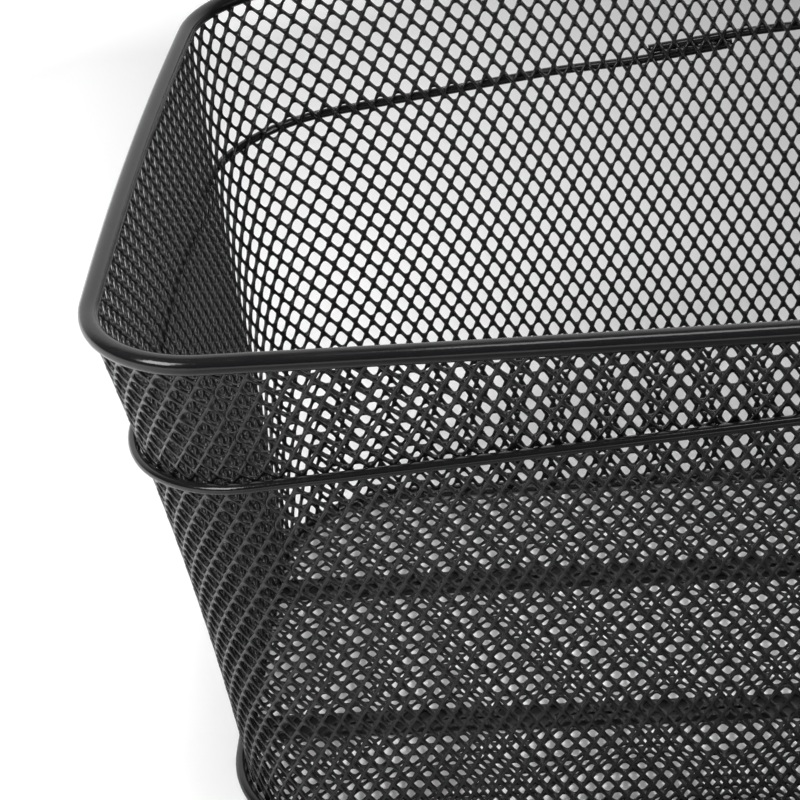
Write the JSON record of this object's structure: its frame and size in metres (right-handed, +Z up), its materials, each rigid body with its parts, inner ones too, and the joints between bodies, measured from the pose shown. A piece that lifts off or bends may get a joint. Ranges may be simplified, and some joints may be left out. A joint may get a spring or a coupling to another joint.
{
  "type": "rear bicycle basket",
  "caption": "Tapered open-top carrier basket of black coated expanded steel mesh on a bent-tube rim, with a slanting wire hoop, a base hoop and flat bearers under the floor.",
  "frame": {"origin": "on the resting plane, under the middle of the basket", "axes": "+X along the length, the way the slanting hoop rises, +Y across to the rear side, +Z up"},
  "size_m": [0.3999, 0.2998, 0.2319],
  "materials": {
    "rim_coat": "semi-gloss",
    "wire_coat": "gloss",
    "mesh_coat": "satin",
    "bearer_coat": "satin"
  },
  "bodies": {
    "root": {"top_rim": "rim_coat", "mid_hoop": "wire_coat", "base_hoop": "wire_coat", "front_mesh": "mesh_coat", "right_front_corner_mesh_1": "mesh_coat", "right_front_corner_mesh_2": "mesh_coat", "right_front_corner_mesh_3": "mesh_coat", "right_mesh": "mesh_coat", "right_rear_corner_mesh_1": "mesh_coat", "right_rear_corner_mesh_2": "mesh_coat", "right_rear_corner_mesh_3": "mesh_coat", "rear_mesh": "mesh_coat", "left_rear_corner_mesh_1": "mesh_coat", "left_rear_corner_mesh_2": "mesh_coat", "left_rear_corner_mesh_3": "mesh_coat", "left_mesh": "mesh_coat", "left_front_corner_mesh_1": "mesh_coat", "left_front_corner_mesh_2": "mesh_coat", "left_front_corner_mesh_3": "mesh_coat", "floor_mesh": "mesh_coat", "front_bearer": "bearer_coat", "rear_bearer": "bearer_coat"}
  },
  "joints": []
}
